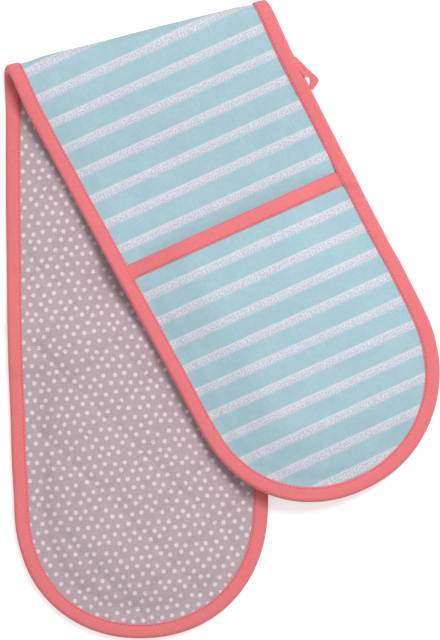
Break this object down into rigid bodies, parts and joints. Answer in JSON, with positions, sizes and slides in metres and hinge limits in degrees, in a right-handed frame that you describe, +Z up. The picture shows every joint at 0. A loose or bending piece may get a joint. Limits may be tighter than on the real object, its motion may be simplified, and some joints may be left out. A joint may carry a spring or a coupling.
{
  "type": "double oven glove",
  "caption": "Padded cloth strip with rounded ends, folded over near its middle, with a hand pocket at each end, bias binding all round and a hanging loop.",
  "frame": {"origin": "on the floor the folded glove lies on, under the middle of its outline", "axes": "+Z up off the floor; +Y from the tip of the lower half towards the fold; +X towards the side the upper half slants to, and the one the hanging loop is on"},
  "size_m": [0.3086, 0.4478, 0.0364],
  "materials": {
    "teal_cotton": "matte",
    "grey_cotton": "matte",
    "coral_tape": "matte",
    "cream_wadding": "matte"
  },
  "bodies": {
    "lower_half": {"lower_outer_panel": "teal_cotton", "lower_wadding": "cream_wadding", "lower_backing": "grey_cotton", "lower_pocket_lining": "grey_cotton", "lower_pocket_wadding": "cream_wadding", "lower_pocket_front": "teal_cotton", "lower_mouth_binding": "coral_tape", "lower_edge_binding": "coral_tape"},
    "fold": {"fold_outer_panel": "teal_cotton", "fold_wadding": "cream_wadding", "fold_backing": "grey_cotton", "fold_binding_left": "coral_tape", "fold_binding_right": "coral_tape"},
    "upper_half": {"upper_outer_panel": "teal_cotton", "upper_wadding": "cream_wadding", "upper_backing": "grey_cotton", "upper_pocket_lining": "grey_cotton", "upper_pocket_wadding": "cream_wadding", "upper_pocket_front": "teal_cotton", "upper_mouth_binding": "coral_tape", "upper_edge_binding": "coral_tape"},
    "loop": {"hanging_loop": "coral_tape"}
  },
  "joints": [
    {"name": "fold_lower_hinge", "type": "hinge", "parent": "lower_half", "child": "fold", "pos_m": [-0.06073, 0.19847, 0.00361], "axis": [-0.9692, -0.2462, 0], "range_deg": [0, 90]},
    {"name": "fold_upper_hinge", "type": "hinge", "parent": "fold", "child": "upper_half", "pos_m": [-0.06073, 0.19847, 0.01859], "axis": [-0.9692, -0.2462, 0], "range_deg": [0, 90]},
    {"name": "loop_hinge", "type": "hinge", "parent": "upper_half", "child": "loop", "pos_m": [0.05264, 0.18368, 0.01699], "axis": [0.4492, -0.8837, -0.1315], "range_deg": [-90, 90]}
  ],
  "couplings": [
    {"joint": "fold_upper_hinge", "follows": "fold_lower_hinge", "ratio": 1}
  ]
}
